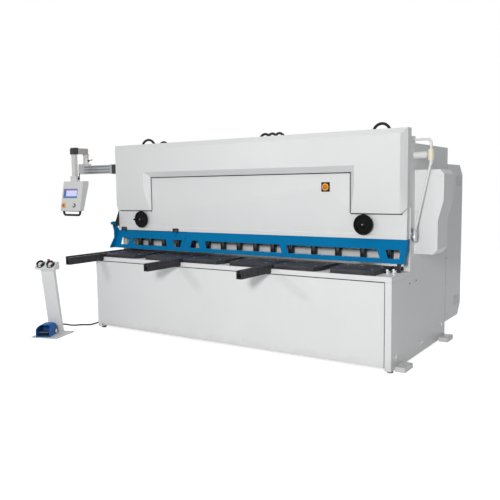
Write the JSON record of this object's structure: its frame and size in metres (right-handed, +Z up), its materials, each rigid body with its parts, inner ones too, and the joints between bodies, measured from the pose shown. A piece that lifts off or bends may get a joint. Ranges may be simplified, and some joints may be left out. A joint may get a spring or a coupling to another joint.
{
  "type": "hydraulic guillotine shear",
  "caption": "Hydraulic guillotine shear with raked ram blade, hold-downs, hinged finger guard, support arms, back gauge, swing-arm pendant and cabled foot-pedal pedestal.",
  "frame": {"origin": "centre of the four anchor bolts, at floor level", "axes": "+X along the blades to the right as the operator sees it, +Y to the machine's rear, +Z up"},
  "size_m": [4.725, 2.8713, 2.2258],
  "materials": {
    "white_paint": "satin",
    "grey_paint": "satin",
    "black_steel": "matt",
    "guard_blue": "satin",
    "pedal_blue": "satin",
    "machined_steel": "ground",
    "chromed_steel": "polished",
    "cast_housing": "painted",
    "rail_aluminium": "anodised",
    "black_plastic": "matt",
    "red_plastic": "gloss",
    "orange_plastic": "gloss",
    "white_plastic": "gloss",
    "screen_glass": "gloss",
    "hose_rubber": "matt"
  },
  "bodies": {
    "machine": {"side_frame_left": "white_paint", "side_frame_right": "white_paint", "frame_fasteners": "white_paint", "anchor_feet": "white_paint", "cross_beams": "white_paint", "table_bed": "white_paint", "front_panel": "white_paint", "holddown_beam": "white_paint", "front_cover": "white_paint", "recess_panel": "white_paint", "rear_guard_left": "white_paint", "rear_guard_right": "white_paint", "side_housing": "white_paint", "shaft_stub": "white_paint", "side_pipe": "white_paint", "pedestal_stand": "white_paint", "pedestal_console": "white_paint", "rear_chute": "grey_paint", "oil_tank": "grey_paint", "pump_motor": "grey_paint", "table_plates": "black_steel", "squaring_arm": "black_steel", "support_arms": "black_steel", "holddown_cylinders": "black_steel", "guard_hinges": "black_steel", "finger_guard": "guard_blue", "pedal_hood": "pedal_blue", "lower_blade": "machined_steel", "ram_guides": "machined_steel", "valve_block": "machined_steel", "ram_cylinders": "cast_housing", "gauge_rails": "cast_housing", "pendant_rail": "rail_aluminium", "cable_glands": "black_plastic", "hoses": "hose_rubber", "pedestal_cable": "hose_rubber"},
    "ram": {"ram": "white_paint", "upper_blade": "machined_steel", "piston_rods": "chromed_steel"},
    "holddowns": {"holddown_plungers": "chromed_steel"},
    "back_gauge": {"gauge_beam": "machined_steel"},
    "gauge_screw_left": {"gauge_screw_left": "machined_steel"},
    "gauge_screw_right": {"gauge_screw_right": "machined_steel"},
    "gauge_shaft": {"gauge_cross_shaft": "machined_steel"},
    "guard_flap": {"guard_flap": "guard_blue"},
    "handwheel_left": {"handwheel_left": "black_plastic"},
    "handwheel_right": {"handwheel_right": "black_plastic"},
    "front_estop": {"front_estop": "orange_plastic"},
    "pendant_arm": {"pendant_arm": "white_paint"},
    "pendant_head": {"pendant_box": "white_paint", "pendant_screen": "screen_glass", "pendant_handle": "black_plastic"},
    "pendant_estop": {"pendant_estop": "orange_plastic"},
    "pendant_button": {"pendant_button": "white_plastic"},
    "arm_clamp": {"arm_clamp": "black_plastic"},
    "head_clamp": {"head_clamp": "black_plastic"},
    "console_estop": {"console_estop": "red_plastic"},
    "console_button_left": {"console_button_left": "black_plastic"},
    "console_button_right": {"console_button_right": "black_plastic"},
    "foot_pedal": {"foot_pedal": "machined_steel"}
  },
  "joints": [
    {"name": "ram_slide", "type": "slide", "parent": "machine", "child": "ram", "axis": [0, 0, -1], "range_m": [0, 0.13]},
    {"name": "holddown_slide", "type": "slide", "parent": "machine", "child": "holddowns", "axis": [0, 0, -1], "range_m": [0, 0.038], "stiffness_N_per_m": 15000, "springref_m": -0.04},
    {"name": "gauge_slide", "type": "slide", "parent": "machine", "child": "back_gauge", "axis": [0, 1, 0], "range_m": [-0.37, 0.35]},
    {"name": "gauge_screw_left_turn", "type": "hinge", "parent": "machine", "child": "gauge_screw_left", "pos_m": [-1.1, 0.4, 1.08], "axis": [0, 1, 0], "continuous": true},
    {"name": "gauge_screw_right_turn", "type": "hinge", "parent": "machine", "child": "gauge_screw_right", "pos_m": [1.1, 0.4, 1.08], "axis": [0, 1, 0], "continuous": true},
    {"name": "gauge_shaft_turn", "type": "hinge", "parent": "machine", "child": "gauge_shaft", "pos_m": [0, 0.965, 1.08], "axis": [1, 0, 0], "continuous": true},
    {"name": "guard_flap_hinge", "type": "hinge", "parent": "machine", "child": "guard_flap", "pos_m": [-1.271, -0.461, 1.134], "axis": [-1, 0, 0], "range_deg": [0, 60]},
    {"name": "handwheel_left_turn", "type": "hinge", "parent": "machine", "child": "handwheel_left", "pos_m": [-1.39, -0.47, 1.266], "axis": [0, -1, 0], "continuous": true},
    {"name": "handwheel_right_turn", "type": "hinge", "parent": "machine", "child": "handwheel_right", "pos_m": [1.39, -0.47, 1.266], "axis": [0, -1, 0], "continuous": true},
    {"name": "front_estop_press", "type": "slide", "parent": "machine", "child": "front_estop", "axis": [0, 1, 0], "range_m": [0, 0.005], "stiffness_N_per_m": 2000, "springref_m": -0.003},
    {"name": "pendant_arm_swing", "type": "hinge", "parent": "machine", "child": "pendant_arm", "pos_m": [-2.505, -0.285, 1.98], "axis": [0, 0, 1], "range_deg": [-100, 45]},
    {"name": "pendant_head_swivel", "type": "hinge", "parent": "pendant_arm", "child": "pendant_head", "pos_m": [-2.505, -0.475, 1.757], "axis": [0, 0, 1], "range_deg": [-90, 90]},
    {"name": "pendant_estop_press", "type": "slide", "parent": "pendant_head", "child": "pendant_estop", "axis": [0, 0.9816, -0.1908], "range_m": [0, 0.005], "stiffness_N_per_m": 2000, "springref_m": -0.003},
    {"name": "pendant_button_press", "type": "slide", "parent": "pendant_head", "child": "pendant_button", "axis": [0, 0.9816, -0.1908], "range_m": [0, 0.005], "stiffness_N_per_m": 2000, "springref_m": -0.003},
    {"name": "arm_clamp_turn", "type": "hinge", "parent": "machine", "child": "arm_clamp", "pos_m": [-2.4686, -0.285, 1.9825], "axis": [1, 0, 0], "range_deg": [-40, 60]},
    {"name": "head_clamp_turn", "type": "hinge", "parent": "pendant_head", "child": "head_clamp", "pos_m": [-2.4496, -0.475, 1.757], "axis": [1, 0, 0], "range_deg": [-60, 60]},
    {"name": "console_estop_press", "type": "slide", "parent": "machine", "child": "console_estop", "axis": [0, 0, -1], "range_m": [0, 0.005], "stiffness_N_per_m": 2000, "springref_m": -0.003},
    {"name": "console_left_press", "type": "slide", "parent": "machine", "child": "console_button_left", "axis": [-0.1879, 0.6147, -0.766], "range_m": [0, 0.005], "stiffness_N_per_m": 2000, "springref_m": -0.003},
    {"name": "console_right_press", "type": "slide", "parent": "machine", "child": "console_button_right", "axis": [-0.1879, 0.6147, -0.766], "range_m": [0, 0.005], "stiffness_N_per_m": 2000, "springref_m": -0.003},
    {"name": "foot_pedal_press", "type": "hinge", "parent": "machine", "child": "foot_pedal", "pos_m": [-2.01804, -1.36733, 0.038], "axis": [0.8746, 0.4848, 0], "range_deg": [0, 6], "stiffness_Nm_per_rad": 12, "springref_deg": -17.19}
  ],
  "couplings": [
    {"joint": "gauge_screw_left_turn", "follows": "gauge_slide", "rad_per_m": 314.16},
    {"joint": "gauge_screw_right_turn", "follows": "gauge_slide", "rad_per_m": 314.16},
    {"joint": "gauge_shaft_turn", "follows": "gauge_slide", "rad_per_m": 314.16}
  ]
}
